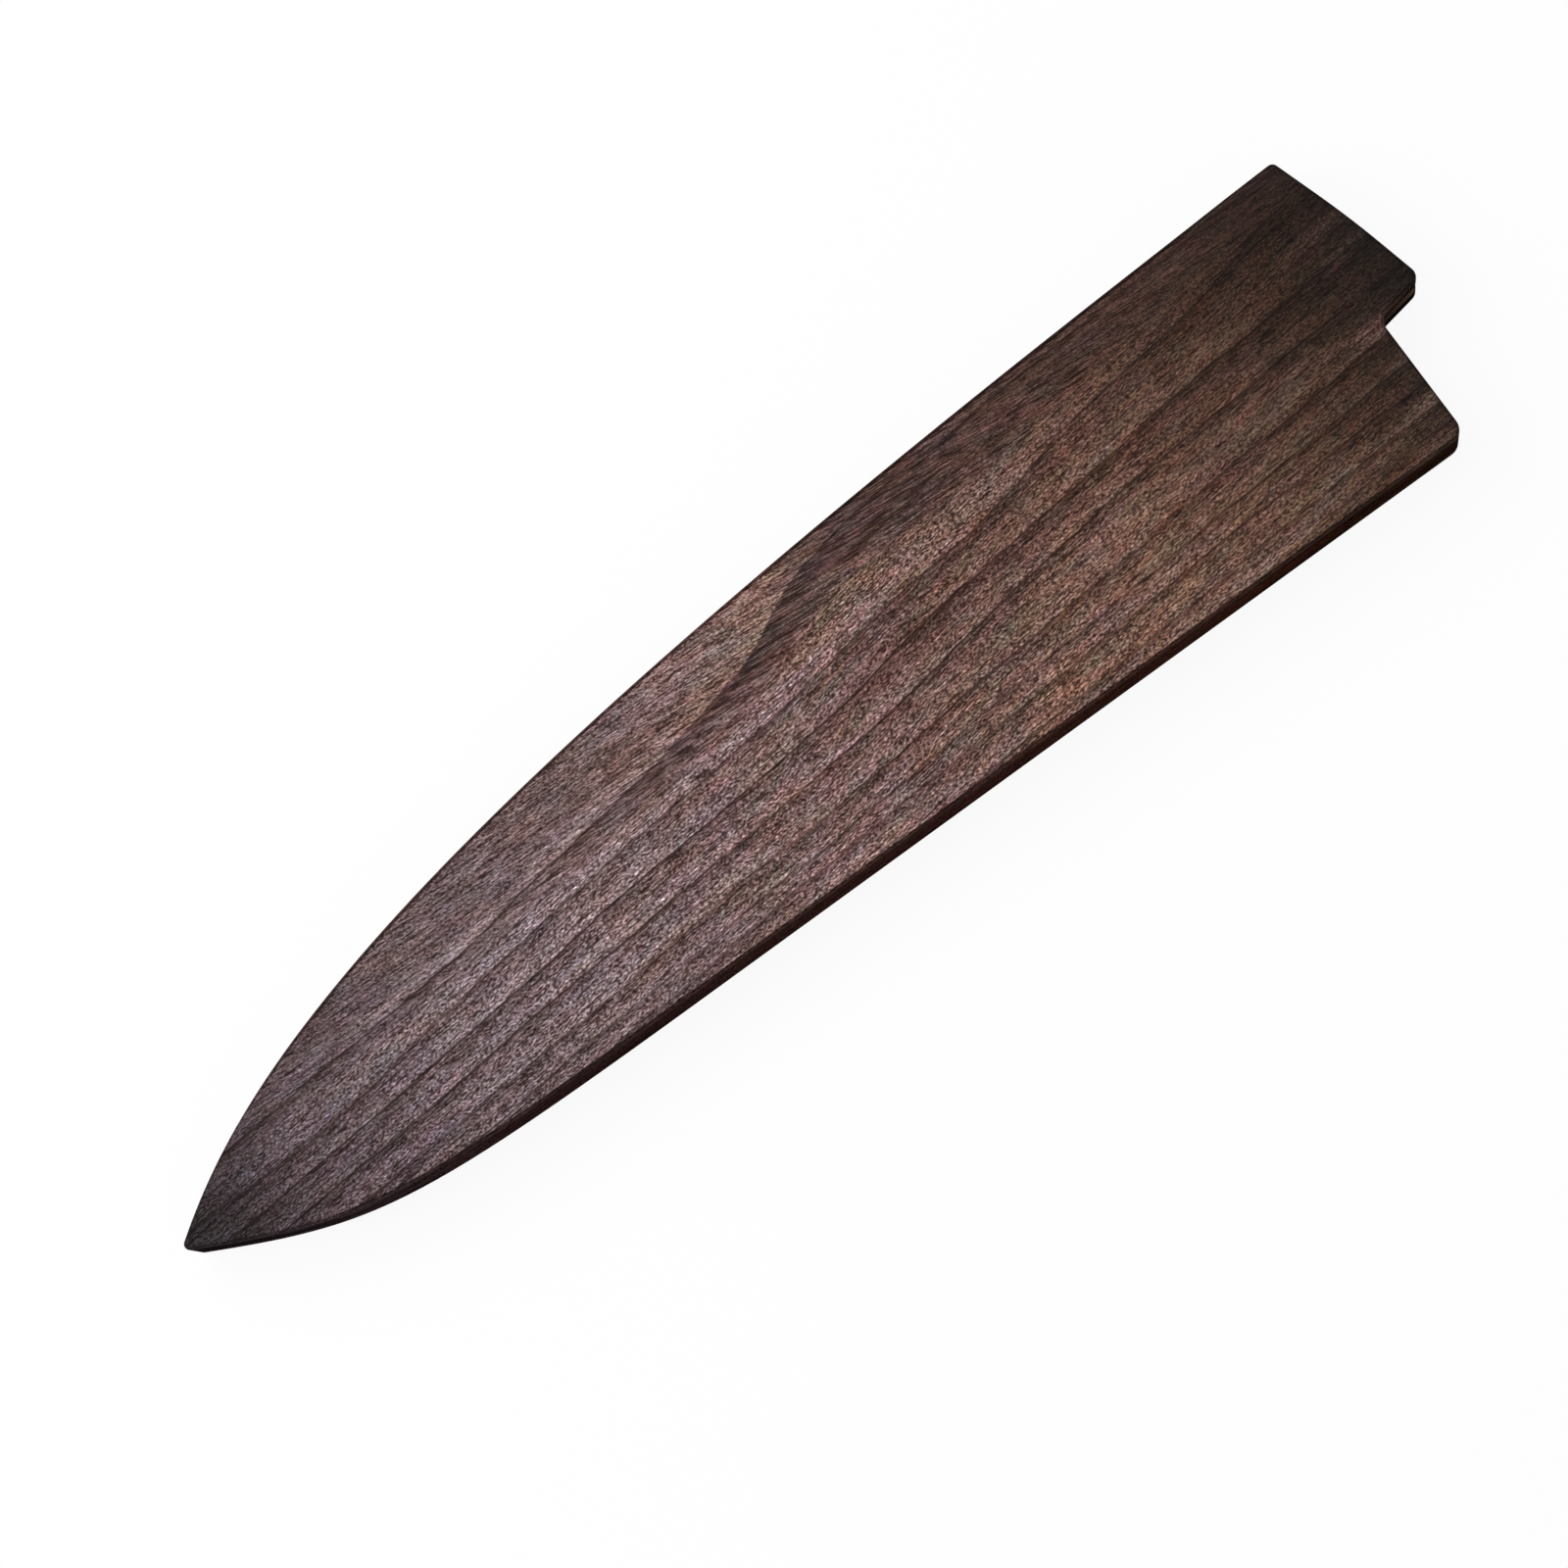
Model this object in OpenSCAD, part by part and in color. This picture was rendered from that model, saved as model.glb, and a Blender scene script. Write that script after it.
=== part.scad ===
// Knife blade guard: a flat wooden sheath that a chef's knife slides into, tip first.
// It is laminated like the real one: two thin boards, and between them a core of two strips
// that leaves a blade-shaped slot, open at the handle end. Magnets in the back board hold the blade.
// X runs from the tip to the open end, Y from the spine side to the cutting-edge side,
// Z through the thickness. The origin is the centre of the bottom of the bounding box.

/* [Overall outline] */
// Length from the nose to the corner of the heel lug, before that corner is rounded
guard_len = 256.6; // [235:0.1:290]
// Width at the open end
guard_w = 55; // [48:0.1:66]

/* [Tip] */
// Height of the nose above the spine side
tip_rise = 15.4; // [12:0.1:20]
// Radius of the nose
tip_r = 1; // [1:0.1:3]
// Slope at which the cutting-edge side leaves the nose, in degrees
edge_tip_slope = 36; // [30:0.5:42]
// Distance over which that slope pulls the cutting-edge side
edge_tip_pull = 35; // [25:1:45]
// Slope at which the cutting-edge side reaches the open end, in degrees
edge_heel_slope = 1.5; // [0.5:0.1:3]
// Distance over which that slope pulls the cutting-edge side
edge_heel_pull = 170; // [140:1:180]
// Slope at which the spine side leaves the nose, in degrees
spine_tip_slope = 27; // [20:0.5:34]
// Distance over which that slope pulls the spine side
spine_tip_pull = 28.5; // [20:0.5:34]
// Distance from the nose at which the spine side becomes straight
spine_curve_len = 90; // [80:1:110]
// Distance over which the straight stretch pulls the curve
spine_curve_pull = 57; // [40:1:60]

/* [Open end] */
// Length of the heel lug past the face that meets the knife's handle
lug_len = 9.6; // [6:0.1:14]
// Width of the face that meets the knife's handle
handle_face_w = 23.5; // [18:0.1:26]
// Rise of the lug's inner side over its length
lug_rise = 1.7; // [0:0.1:3]
// How far the lug's end leans back at the cutting-edge side
lug_lean = 8.2; // [5:0.1:12]
// How far the lug's end bulges at its middle
lug_bulge = 0.6; // [0.3:0.1:1.5]
// Radius that smooths the bulge
lug_bulge_r = 180; // [60:10:200]
// Radius of the corner at the spine side
spine_corner_r = 2.5; // [1.5:0.1:5]
// Radius of the inner corner where the lug starts
notch_r = 2; // [1:0.1:4]
// Radius of the lug's corner
lug_corner_r = 1.8; // [1.2:0.1:4]
// Radius of the corner at the cutting-edge side
heel_corner_r = 1.2; // [1.1:0.1:4]

/* [Boards and core] */
// Thickness of each outer board
board_t = 4.45; // [3.5:0.05:7]
// Radius that eases the outer edges of the boards
board_edge_r = 0.9; // [0.3:0.1:1]
// Width of the core strip along the spine side
spine_wall = 3.5; // [3:0.1:6]
// Width of the core strip along the cutting-edge side
edge_wall = 3.5; // [3:0.1:6]
// Length of solid core between the nose and the end of the slot
tip_wall = 11; // [10:0.5:16]

/* [Blade] */
// Thickness of the blade at its spine
blade_t = 3.6; // [2:0.1:5]
// Clearance between the blade and each board
blade_gap = 0.5; // [0.3:0.05:1]

/* [Magnets] */
// Diameter of each magnet
magnet_d = 10; // [6:0.5:12]
// Thickness of each magnet
magnet_t = 2; // [1:0.1:2.5]
// Clearance round each magnet in its pocket
magnet_gap = 0.1; // [0.05:0.05:0.3]
// How far each magnet lies below the floor of the slot
magnet_sink = 0.2; // [0.1:0.05:0.5]
// Chamfer on the magnet's rims
magnet_chamfer = 0.2; // [0.1:0.05:0.4]
// Distance from the handle's face to the first magnet
magnet_end_gap = 25; // [15:1:40]
// Distance from one magnet to the next
magnet_pitch = 48; // [30:1:52]
// Height of the row of magnets above the spine side
magnet_rise = 18; // [14:0.5:24]

/* [Hidden] */

// Colours, as they look in soft light
face_walnut = [0.43, 0.33, 0.31];
core_walnut = [0.30, 0.21, 0.18];
magnet_nickel = [0.78, 0.78, 0.80];

// Smoothness of the outline: steps along each stretch
edge_steps = 60;
spine_steps = 28;
corner_steps = 7;
round_steps = 5;

// Heights of the layers
core_t = blade_t + 2 * blade_gap;
slot_floor = board_t;
slot_roof = board_t + core_t;

// Corners of the open end, before they are rounded
handle_face_x = guard_len - lug_len;
spine_corner = [handle_face_x, 0];
notch_corner = [handle_face_x, handle_face_w];
lug_corner = [guard_len, handle_face_w + lug_rise];
heel_corner = [guard_len - lug_lean, guard_w];
lug_chord = heel_corner - lug_corner;
lug_middle = (lug_corner + heel_corner) / 2 + lug_bulge * [lug_chord.y, -lug_chord.x] / norm(lug_chord);

// Small helpers for points in the plane
function unit(v) = v / norm(v);
function left_of(v) = [-v.y, v.x];
function heading(a) = [cos(a), sin(a)];
function turned(v, a) = [v.x * cos(a) - v.y * sin(a), v.x * sin(a) + v.y * cos(a)];

// A point on a cubic curve, and the direction of travel there
function curve_point(c, t) =
    pow(1 - t, 3) * c[0] + 3 * pow(1 - t, 2) * t * c[1] + 3 * (1 - t) * pow(t, 2) * c[2] + pow(t, 3) * c[3];
function curve_heading(c, t) =
    unit(pow(1 - t, 2) * (c[1] - c[0]) + 2 * (1 - t) * t * (c[2] - c[1]) + pow(t, 2) * (c[3] - c[2]));

// Place along a curve whose X rises steadily, found by halving
function place_at_x(c, x, low = 0, high = 1, tries = 24) =
    tries == 0 ? (low + high) / 2 :
    curve_point(c, (low + high) / 2).x < x ? place_at_x(c, x, (low + high) / 2, high, tries - 1) :
    place_at_x(c, x, low, (low + high) / 2, tries - 1);

// The outline is a list of [point, outward normal], clockwise as seen from above.
// Rounds the corner p between the points a and b.
function round_corner(a, p, b, r) =
    let (
        way_in = unit(p - a),
        way_out = unit(b - p),
        turn = atan2(cross(way_in, way_out), way_in * way_out),
        side = turn < 0 ? 1 : -1,
        centre = p - r * tan(abs(turn) / 2) * way_in - side * r * left_of(way_in)
    )
    [for (k = [0 : corner_steps])
        let (out = turned(left_of(way_in), turn * k / corner_steps))
        [centre + side * r * out, out]];

// The cutting-edge side runs from the nose to where the heel corner starts to turn
nose = [tip_r, tip_rise];
heel_approach = heel_corner - 100 * heading(edge_heel_slope);
heel_round = round_corner(heel_approach, heel_corner, lug_middle, heel_corner_r);
edge_start = nose + tip_r * heading(90 + edge_tip_slope);
edge_end = heel_round[0][0];
edge_curve = [edge_start, edge_start + edge_tip_pull * heading(edge_tip_slope),
    edge_end - edge_heel_pull * heading(edge_heel_slope), edge_end];

// The spine side runs from the nose to its straight stretch
spine_start = nose + tip_r * heading(-90 - spine_tip_slope);
spine_end = [spine_curve_len, 0];
spine_curve = [spine_start, spine_start + spine_tip_pull * heading(-spine_tip_slope),
    spine_end - [spine_curve_pull, 0], spine_end];

nose_round = [for (k = [0 : corner_steps])
    let (out = heading(270 - spine_tip_slope - k / corner_steps * (180 - spine_tip_slope - edge_tip_slope)))
    [nose + tip_r * out, out]];
edge_side = [for (k = [1 : edge_steps - 1])
    [curve_point(edge_curve, k / edge_steps), left_of(curve_heading(edge_curve, k / edge_steps))]];
spine_side = [for (k = [spine_steps : -1 : 1])
    [curve_point(spine_curve, k / spine_steps), -left_of(curve_heading(spine_curve, k / spine_steps))]];

outline = concat(
    nose_round,
    edge_side,
    heel_round,
    round_corner(heel_corner, lug_middle, lug_corner, lug_bulge_r),
    round_corner(lug_middle, lug_corner, notch_corner, lug_corner_r),
    round_corner(lug_corner, notch_corner, spine_corner, notch_r),
    round_corner(notch_corner, spine_corner, [0, 0], spine_corner_r),
    spine_side
);
outline_count = len(outline);
outline_x = [for (p = outline) p[0].x];
outline_y = [for (p = outline) p[0].y];
outline_middle = [(min(outline_x) + max(outline_x)) / 2, (min(outline_y) + max(outline_y)) / 2];

// The slot follows both sides at the width of the core strips, and runs out past the open end
slot_end_x = tip_r + tip_wall;
slot_past_end = guard_len + 5;
edge_slot_start = place_at_x(edge_curve, slot_end_x);
spine_slot_start = place_at_x(spine_curve, slot_end_x);
slot_edge_side = [for (k = [0 : edge_steps])
    let (t = edge_slot_start + (1 - edge_slot_start) * k / edge_steps)
    curve_point(edge_curve, t) - edge_wall * left_of(curve_heading(edge_curve, t))];
slot_spine_side = [for (k = [spine_steps : -1 : 0])
    let (t = spine_slot_start + (1 - spine_slot_start) * k / spine_steps)
    curve_point(spine_curve, t) + spine_wall * left_of(curve_heading(spine_curve, t))];
slot_last = slot_edge_side[edge_steps];
slot_outline = concat(
    slot_edge_side,
    [slot_last + (slot_past_end - slot_last.x) * [1, tan(edge_heel_slope)], [slot_past_end, spine_wall]],
    slot_spine_side
);

// The two core strips meet on a line from the nose to the middle of the slot's end
strip_meet = (slot_edge_side[0] + slot_spine_side[spine_steps]) / 2;
strip_meet_slope = unit(strip_meet - nose);
strip_meet_start = nose - 5 * strip_meet_slope;

// Places the part's frame: the outline's middle at the origin
module in_frame() {
    translate([-outline_middle.x, -outline_middle.y, 0]) children();
}

// One outer board, inner face down at height 0, with its outer edge eased all round
module board_blank() {
    rings = concat([[0, 0]], [for (k = [0 : round_steps])
        let (a = 90 * k / round_steps)
        [board_edge_r * (1 - cos(a)), board_t - board_edge_r * (1 - sin(a))]]);
    last = len(rings) - 1;
    points = [for (ring = rings, p = outline)
        let (q = p[0] - ring[0] * p[1])
        [q.x, q.y, ring[1]]];
    walls = [for (j = [0 : last - 1], i = [0 : outline_count - 1])
        let (next = (i + 1) % outline_count, low = j * outline_count, high = low + outline_count)
        each [[low + i, low + next, high + next], [low + i, high + next, high + i]]];
    inner_face = [for (i = [outline_count - 1 : -1 : 0]) i];
    outer_face = [for (i = [0 : outline_count - 1]) last * outline_count + i];
    polyhedron(points, concat([inner_face, outer_face], walls), convexity = 6);
}

// Half of the plane on one side of the line where the strips meet: 1 towards the cutting edge, -1 the spine
module strip_half(side) {
    far = side * 2 * guard_w * left_of(strip_meet_slope);
    reach = strip_meet + (slot_past_end - strip_meet.x) * [1, 0];
    polygon([strip_meet_start, strip_meet, reach, reach + far, strip_meet + far, strip_meet_start + far]);
}

// One strip of the core, between the boards
module core_strip(side) {
    in_frame() translate([0, 0, slot_floor]) linear_extrude(core_t) intersection() {
        difference() {
            polygon([for (p = outline) p[0]]);
            polygon(slot_outline);
        }
        strip_half(side);
    }
}

// Middle of a magnet's pocket floor, counted from the open end
function magnet_place(i) = [handle_face_x - magnet_end_gap - i * magnet_pitch, magnet_rise,
    slot_floor - magnet_sink - magnet_t];

module front_board() {
    color(face_walnut) in_frame() translate([0, 0, slot_roof]) board_blank();
}

module back_board() {
    color(face_walnut) in_frame() difference() {
        translate([0, 0, slot_floor]) mirror([0, 0, 1]) board_blank();
        for (i = [0 : 3])
            translate(magnet_place(i)) cylinder(d = magnet_d + 2 * magnet_gap, h = board_t, $fn = 48);
    }
}

module edge_strip() {
    color(core_walnut) core_strip(1);
}

module spine_strip() {
    color(core_walnut) core_strip(-1);
}

module magnet(i) {
    r = magnet_d / 2;
    color(magnet_nickel) in_frame() translate(magnet_place(i)) rotate_extrude($fn = 48)
        polygon([[0, 0], [r - magnet_chamfer, 0], [r, magnet_chamfer], [r, magnet_t - magnet_chamfer],
            [r - magnet_chamfer, magnet_t], [0, magnet_t]]);
}

front_board();
back_board();
edge_strip();
spine_strip();
magnet(0);  // magnet_1
magnet(1);  // magnet_2
magnet(2);  // magnet_3
magnet(3);  // magnet_4
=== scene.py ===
import math
import bmesh
import bpy
from mathutils import Matrix, Vector


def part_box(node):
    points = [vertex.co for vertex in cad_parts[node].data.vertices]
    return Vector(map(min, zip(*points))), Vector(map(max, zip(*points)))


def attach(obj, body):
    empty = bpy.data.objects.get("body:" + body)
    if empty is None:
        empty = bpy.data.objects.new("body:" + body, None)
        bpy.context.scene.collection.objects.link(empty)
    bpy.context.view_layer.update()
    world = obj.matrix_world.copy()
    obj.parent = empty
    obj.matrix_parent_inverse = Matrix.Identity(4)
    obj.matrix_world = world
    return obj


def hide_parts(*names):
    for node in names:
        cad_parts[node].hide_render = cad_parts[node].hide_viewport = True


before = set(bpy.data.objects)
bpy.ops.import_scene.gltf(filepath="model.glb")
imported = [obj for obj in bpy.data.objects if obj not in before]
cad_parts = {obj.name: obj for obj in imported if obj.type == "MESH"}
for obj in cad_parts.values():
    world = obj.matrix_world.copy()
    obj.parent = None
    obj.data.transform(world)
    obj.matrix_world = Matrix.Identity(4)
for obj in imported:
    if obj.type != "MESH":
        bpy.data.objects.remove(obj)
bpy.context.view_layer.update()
mm = 0.001
print("frame loaded")


# Node helpers: a plain value is set on its socket, and a socket given as a value is linked to it

def addNode(tree, kind, values=None, **settings):
    made = tree.nodes.new(kind)
    for key, value in settings.items():
        setattr(made, key, value)
    for socket, value in (values or {}).items():
        if isinstance(value, bpy.types.NodeSocket):
            tree.links.new(value, made.inputs[socket])
        else:
            made.inputs[socket].default_value = value
    return made


def calc(tree, operation, *values, clamp=False):
    return addNode(tree, "ShaderNodeMath", dict(enumerate(values)),
                   operation=operation, use_clamp=clamp).outputs[0]


def product(tree, *values):
    result = values[0]
    for value in values[1:]:
        result = calc(tree, "MULTIPLY", result, value)
    return result


def highest(tree, *values):
    result = values[0]
    for value in values[1:]:
        result = calc(tree, "MAXIMUM", result, value)
    return result


def leftOver(tree, share):  # 1 minus a share
    return calc(tree, "SUBTRACT", 1.0, share)


def shareOf(tree, value, low, high):  # 0 at low, 1 at high
    return calc(tree, "DIVIDE", calc(tree, "SUBTRACT", value, low), high - low)


def fade(tree, value, start, end, low=0.0, high=1.0):  # smooth step from start to end
    return addNode(tree, "ShaderNodeMapRange", {0: value, 1: start, 2: end, 3: low, 4: high},
                   interpolation_type="SMOOTHSTEP").outputs[0]


def blendColour(tree, factor, first, second, kind="MIX"):
    return addNode(tree, "ShaderNodeMix", {0: factor, 6: first, 7: second},
                   data_type="RGBA", blend_type=kind).outputs[2]


def objectPlace(tree):
    return addNode(tree, "ShaderNodeTexCoord").outputs["Object"]


offsetSpread = (1.0, 0.7, 1.3)  # how far a pattern's offset moves it on each axis


def grainNoise(tree, spot, sizes, detail, offset, rough=0.55):  # spot: along, across and depth in mm
    alongSize, acrossSize = sizes
    scaled = [calc(tree, "MULTIPLY", value, size)
              for value, size in zip(spot, (alongSize, acrossSize, acrossSize))]
    point = addNode(tree, "ShaderNodeCombineXYZ", dict(enumerate(scaled))).outputs[0]
    moved = addNode(tree, "ShaderNodeVectorMath", {0: point, 1: [offset * way for way in offsetSpread]},
                    operation="ADD").outputs[0]
    return addNode(tree, "ShaderNodeTexNoise",
                   {"Vector": moved, "Scale": 1.0, "Detail": detail, "Roughness": rough}).outputs[0]


def grainSwing(tree, spot, pattern):  # a pattern that swings about 0
    return calc(tree, "SUBTRACT", grainNoise(tree, spot, *pattern), 0.5)


def newMaterial(name):
    made = bpy.data.materials.new(name)
    made.use_nodes = True
    return made, made.node_tree, made.node_tree.nodes["Principled BSDF"]


def addBump(tree, shader, strength, depth, relief):  # depth in mm
    bump = addNode(tree, "ShaderNodeBump", {"Strength": strength, "Distance": depth * mm, "Height": relief})
    tree.links.new(bump.outputs[0], shader.inputs["Normal"])


# Growth lines of the plank, each drawn as a few points (mm) along the guard and across it
grainSpan = {"along": (-130.0, 130.0), "across": (-30.0, 30.0)}
figureTop = [(-130, -4), (-108, -3), (-92, -1.6), (-67, 0), (-44, 3.4), (-22, 6.4), (-8, 9), (4, 12.4),
             (12, 16.4), (20, 19.4), (32, 21.4), (50, 23), (80, 24.5), (130, 27)]
figureLow = [(-130, -6), (-92, -3), (-60, -1), (-36, 1.4), (-20, 3.2), (0, 6.2), (12, 10.2), (24, 13),
             (38, 13.8), (60, 14.8), (100, 19.4), (130, 22)]
noseLine = [(-130, -10.5), (-99, -9.8), (-66, -5.5), (-28, -1.4), (0, 1.4), (24, 5.2), (48, 8), (66, 12),
            (96, 16), (115, 20.4), (130, 22.5)]
middleLine = [(-130, -16.5), (-101, -13.9), (-68, -11), (-34, -7.4), (0, -4.5), (32, -0.1), (65, 3.5),
              (96, 6.7), (130, 9)]
levelGrain = [(-130, 3), (-70, 1), (-25, -0.5), (5, -1.8), (30, -4), (60, -6.2), (130, -10)]
growthLines = [  # points, depth of the soft shade below the line (mm), strength
    (figureTop, 2.0, 0.85),
    (noseLine, 4.2, 0.8),
    (middleLine, 4.6, 1.0),
    ([(-130, -21), (-91, -18.2), (-66, -15.7), (-31, -13.1), (0, -10.5), (37, -5.9), (71, -1.7), (99, 0),
      (130, 1.2)], 4.2, 0.95),
    ([(-130, -26), (-98, -23.4), (-66, -21.2), (-31, -18.4), (0, -16.6), (35, -13.4), (65, -11.2),
      (98, -8.2), (130, -6)], 3.2, 0.9),
    ([(-100, -28), (-67, -25), (-32, -22.3), (0, -20.8), (37, -17.7), (65, -15.8), (100, -13.4),
      (130, -12)], 2.6, 0.8),
    ([(-60, -28), (-37, -25.6), (0, -23.3), (42, -20.7), (91, -17.7), (130, -16.5)], 2.2, 0.8),
    ([(10, -28), (32, -25.8), (65, -24), (90, -22.3), (130, -20.5)], 1.8, 0.75),
    ([(60, -29), (74, -27.4), (90, -25.6), (108, -24.8), (130, -24)], 1.4, 0.6),
]


def grainLine(tree, along, points):  # height of a growth line at each place along the guard
    (left, right), (low, high) = grainSpan["along"], grainSpan["across"]
    share = shareOf(tree, along, left, right)
    curveNode = addNode(tree, "ShaderNodeFloatCurve", {"Factor": 1.0, "Value": share})
    curve = curveNode.mapping.curves[0]
    while len(curve.points) < len(points):
        curve.points.new(0.5, 0.5)
    for spot, (x, y) in zip(curve.points, points):
        spot.location = ((x - left) / (right - left), (y - low) / (high - low))
    curveNode.mapping.extend = "EXTRAPOLATED"
    curveNode.mapping.update()
    return calc(tree, "MULTIPLY_ADD", curveNode.outputs[0], high - low, low)


def aboveLine(tree, along, across, points):  # mm from a growth line towards the cutting edge
    return calc(tree, "SUBTRACT", across, grainLine(tree, along, points))


# A pattern is its size along and across the grain (per mm), its detail and its offset.
# A zone is where a share fades from and to, and the shares there if they aren't 0 and 1.
faceWalnut = {
    "shift": (0.0, 0.0),            # mm, where on the plank the board is cut
    "ringLean": 0.9,                # how far the rings lean through the thickness
    "topHeight": 13.5,              # mm, height at which the lines lie as drawn
    "colourSpan": (-128.0, 128.0),  # mm along the guard
    "colours": [                    # place in that span, colour between the lines; partly the wood's own tone, partly painted light: painted sheen in the lighter violet stretch of the fore half, and partly painted shade in the darkening towards the open end
        (0.00, (0.022, 0.016, 0.017)), (0.04, (0.043, 0.031, 0.034)), (0.10, (0.121, 0.082, 0.093)),
        (0.22, (0.202, 0.141, 0.149)), (0.35, (0.238, 0.160, 0.161)), (0.48, (0.226, 0.136, 0.127)),
        (0.62, (0.194, 0.107, 0.086)), (0.76, (0.184, 0.097, 0.070)), (0.86, (0.106, 0.056, 0.039)),
        (0.93, (0.047, 0.024, 0.015)), (1.00, (0.010, 0.006, 0.005))],
    "warmTint": (0.242, 0.144, 0.114, 1),
    "warmShare": 0.85,
    "figureTint": (0.170, 0.112, 0.110, 1),
    "figureShare": 0.6,
    "redTint": 0.80,                # how far patches turn to red or to green-grey
    "blueTint": 0.70,               # how far patches turn to violet or to tan
    "specks": [                     # pattern, strength below the figure, strength in and above it
        (((1.9, 5.6), 0.0, 51.0), 6.4, 4.6),
        (((0.28, 3.8), 0.0, 62.0), 1.8, 2.6),
        (((0.12, 0.95), 0.0, 73.0), 0.10, 0.10),
        (((0.04, 0.55), 0.0, 84.0), 0.24, 0.24),
        (((0.014, 0.40), 0.0, 95.0), 0.50, 0.50)],
    "sparkle": 0.4,                 # how much the bright specks stand out from the dark ones; the bright specks are partly the wood's own flecks and partly painted sheen
    "lineDark": 0.86,
    "shadeDark": 0.42,
    "figureDark": 0.31,
    "hatchDark": 0.50,              # short dark strokes in the figure
    "poreDark": 0.78,
    "noseDark": 0.50,               # dark streak that starts at the nose
    "foreDark": 0.36,               # above the figure, in the fore half
    "middleDark": 0.26,             # below the nose line, in the middle
    "spineDark": 0.30,              # along the spine side, in the fore half
    "edgeDark": (-0.12, 0.5),       # in the rear half, at the spine side and at the cutting-edge side
    "tonePowers": (0.90, 1.03, 1.08),  # for red, green and blue: dark spots turn redder
    "knot": {"place": (101.0, 0.4), "size": (2.2, 0.4), "dark": 0.5},  # mm
    # painted shade: sides, ends and rounded edges are multiplied by this colour as they turn from level,
    # less of it near the nose and near the mouth
    "sideShade": (0.22, 0.145, 0.130, 1),
    "sideTurn": (0.997, 0.86),      # how level a surface is where the sides begin and where they are full
    "sideAtNose": (-120.0, -84.0, 0.45, 1.0),
    "sideAtMouth": (96.0, 120.0, 1.0, 0.40),
    "sideRough": 0.25,
    "roughness": (0.50, 0.72),
    "gloss": 0.10,
    "bump": 0.05,                   # mm
}


def plankPlace(tree, look):  # where a point lies on the plank in mm; the rings lean through the thickness
    place = addNode(tree, "ShaderNodeSeparateXYZ", {0: objectPlace(tree)})
    along = calc(tree, "MULTIPLY_ADD", place.outputs[0], 1 / mm, look["shift"][0])
    depth = calc(tree, "MULTIPLY_ADD", place.outputs[2], 1 / mm, -look["topHeight"])
    flat = calc(tree, "MULTIPLY_ADD", place.outputs[1], 1 / mm, look["shift"][1])
    return along, calc(tree, "MULTIPLY_ADD", depth, look["ringLean"], flat), depth


wanders = [  # pattern, how far it moves the lines (mm); the finest frays them as the pores do
    (((0.022, 0.06), 1.0, 4.0), 1.8),
    (((0.11, 0.30), 1.0, 9.0), 0.9),
    (((0.45, 1.4), 1.0, 14.0), 0.3),
]


def wanderingPlace(tree, spot):  # the place across the grain, moved so that straight lines wander
    moved = spot[1]
    for pattern, reach in wanders:
        moved = calc(tree, "MULTIPLY_ADD", grainSwing(tree, spot, pattern), reach, moved)
    return moved


lineZones = {  # mm above the line
    "upperSide": (0.20, -0.10),
    "lowerSide": (-0.65, -0.12),
    "shadeFrom": -0.1,
}


def drawGrowth(tree, along, ringPlace):  # thin growth lines, and the soft shade that lies below each
    lines, shades = 0.0, 0.0
    for points, reach, strength in growthLines:
        above = aboveLine(tree, along, ringPlace, points)
        sharp = fade(tree, above, *lineZones["upperSide"])
        thin = product(tree, sharp, fade(tree, above, *lineZones["lowerSide"]), strength)
        soft = product(tree, sharp, fade(tree, above, -reach, lineZones["shadeFrom"]), strength)
        lines = highest(tree, lines, thin)
        shades = highest(tree, shades, soft)
    return lines, shades


figureZones = {
    "belowTop": (0.5, -0.4),             # mm from the figure's upper line
    "aboveLow": (-3.0, 5.5),             # mm from its lower line
    "topFadesOut": (8.0, 26.0),          # mm along, where the upper line no longer bounds it
    "start": (-100.0, -4.0, 0.3, 1.0),
    "end": (100.0, 26.0, 0.3, 1.0),
    "patches": ((0.05, 0.22), 2.0, 33.0),
    "patchShare": (0.36, 0.6, 0.72, 1.0),
}


def drawFigure(tree, spot, topAbove, lowAbove):  # the dark figure lies between its two lines
    along = spot[0]
    zones = figureZones
    belowTop = highest(tree, fade(tree, topAbove, *zones["belowTop"]),
                       fade(tree, along, *zones["topFadesOut"]))
    inside = product(tree, fade(tree, lowAbove, *zones["aboveLow"]), belowTop)
    patches = fade(tree, grainNoise(tree, spot, *zones["patches"]), *zones["patchShare"])
    inside = product(tree, inside, patches)
    return product(tree, inside, fade(tree, along, *zones["start"]), fade(tree, along, *zones["end"]))


def grainFlow(tree, spot, lowAbove):  # fine grain: along the lines below the figure, level in and above it
    along, across, depth = spot
    sloped = aboveLine(tree, along, across, middleLine)
    level = aboveLine(tree, along, across, levelGrain)
    isLevel = calc(tree, "GREATER_THAN", lowAbove, 0.0)
    flow = addNode(tree, "ShaderNodeMix", {0: isLevel, 2: sloped, 3: level}).outputs[0]
    return along, flow, depth


colourZones = {
    "overFigure": [(9.0, 0.5), (-0.5, 1.0)],        # mm from the figure's upper line
    "overFigureAlong": [(-34.0, -6.0), (28.0, 12.0)],
    "underFigure": [(-7.0, -1.5), (1.0, -1.0)],     # mm from its lower line
    "underFigureAlong": [(-2.0, 18.0), (84.0, 50.0)],
    "warmPatches": ((0.035, 0.18), 2.0, 117.0),
    "warmPatchShare": (0.5, 0.72, 0.0, 0.35),
    "warmPatchAlong": (-80.0, -30.0),
    "redPatches": ((0.14, 0.50), 2.0, 131.0),
    "bluePatches": ((0.10, 0.40), 2.0, 142.0),
    "tintAlong": (-50.0, 20.0, 0.6, 1.0),
}


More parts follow.
